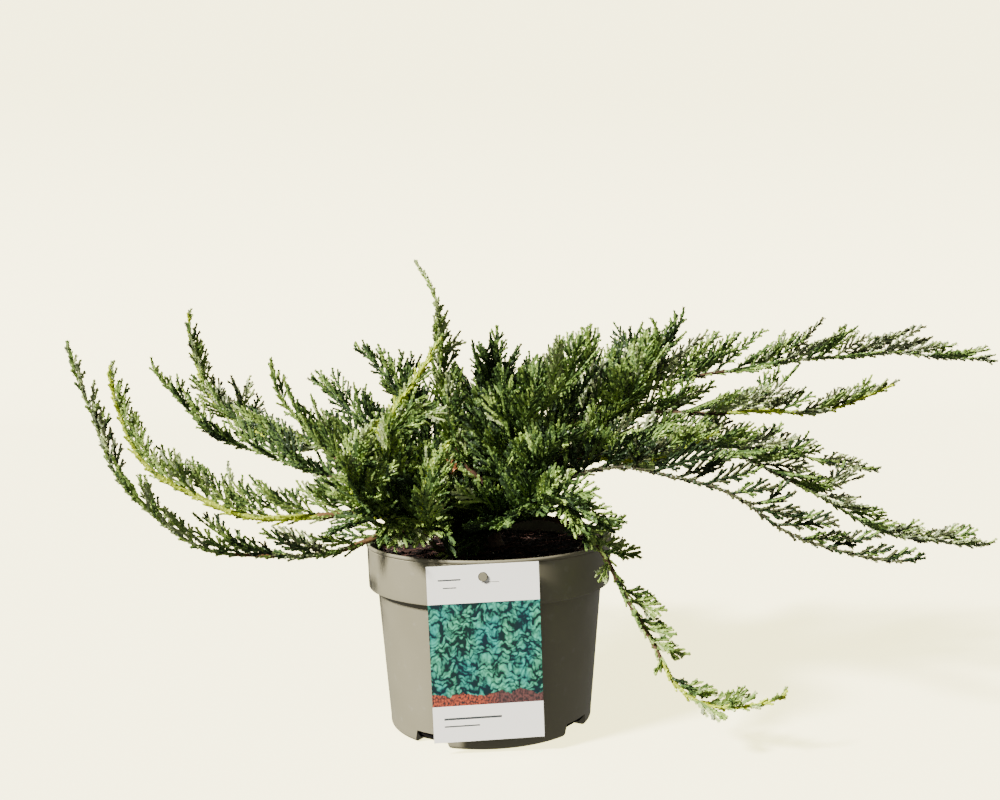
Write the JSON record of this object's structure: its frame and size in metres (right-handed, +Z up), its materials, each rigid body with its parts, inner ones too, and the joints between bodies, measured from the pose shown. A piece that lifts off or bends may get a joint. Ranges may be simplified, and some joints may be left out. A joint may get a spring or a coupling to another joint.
{
  "type": "potted creeping juniper",
  "caption": "Low evergreen shrub with long arching shoots of short needles, growing in a round plastic nursery pot with a picture card on its rim.",
  "frame": {"origin": "centre of the flat underside of the pot", "axes": "+Z up, +X to the right and -Y towards the viewer of the picture, along which the crown is longest in X"},
  "size_m": [0.6589, 0.3639, 0.3205],
  "materials": {
    "pot_plastic": "taupe moulded polypropylene, matt, with a smooth lip",
    "potting_soil": "dark peat and bark fibre",
    "label_card": "white coated card with a printed picture",
    "bark": "dark brown flaking bark",
    "young_bark": "orange-brown scaly young bark",
    "deep_foliage": "deep green needles in sprays",
    "pale_foliage": "paler yellow-green and grey-green needles in sprays"
  },
  "bodies": {
    "root": {"pot": "pot_plastic", "soil": "potting_soil", "label": "label_card", "trunk": "bark", "bough_left_low": "young_bark", "bough_left_middle": "young_bark", "bough_left_high": "young_bark", "bough_left_top": "young_bark", "bough_left_upright": "young_bark", "bough_left_back": "young_bark", "bough_centre_left": "young_bark", "bough_centre_tall": "young_bark", "bough_front_left": "young_bark", "bough_front_left_low": "young_bark", "bough_front_left_near": "young_bark", "bough_right_top": "young_bark", "bough_right_second": "young_bark", "bough_right_long": "young_bark", "bough_right_third": "young_bark", "bough_right_low": "young_bark", "bough_right_hanging": "young_bark", "bough_right_middle": "young_bark", "bough_crest_near": "young_bark", "bough_crest_middle": "young_bark", "bough_crest_right": "young_bark", "bough_crest_far": "young_bark", "bough_crest_back": "young_bark", "bough_front_right": "young_bark", "bough_front_right_up": "young_bark", "bough_back_left": "young_bark", "bough_back_middle": "young_bark", "bough_back_right": "young_bark", "mass_left_low": "pale_foliage", "mass_left_middle": "pale_foliage", "mass_left_high": "deep_foliage", "mass_left_top": "deep_foliage", "mass_left_upright": "deep_foliage", "mass_left_back": "deep_foliage", "mass_centre_left": "deep_foliage", "mass_centre_tall": "pale_foliage", "mass_front_left": "deep_foliage", "mass_front_left_low": "deep_foliage", "mass_front_left_near": "deep_foliage", "mass_right_top": "deep_foliage", "mass_right_second": "pale_foliage", "mass_right_long": "deep_foliage", "mass_right_third": "pale_foliage", "mass_right_low": "deep_foliage", "mass_right_hanging": "deep_foliage", "mass_right_middle": "pale_foliage", "mass_crest_near": "deep_foliage", "mass_crest_middle": "deep_foliage", "mass_crest_right": "deep_foliage", "mass_crest_far": "deep_foliage", "mass_crest_back": "deep_foliage", "mass_front_right": "deep_foliage", "mass_front_right_up": "deep_foliage", "mass_back_left": "deep_foliage", "mass_back_middle": "deep_foliage", "mass_back_right": "deep_foliage"}
  },
  "joints": []
}
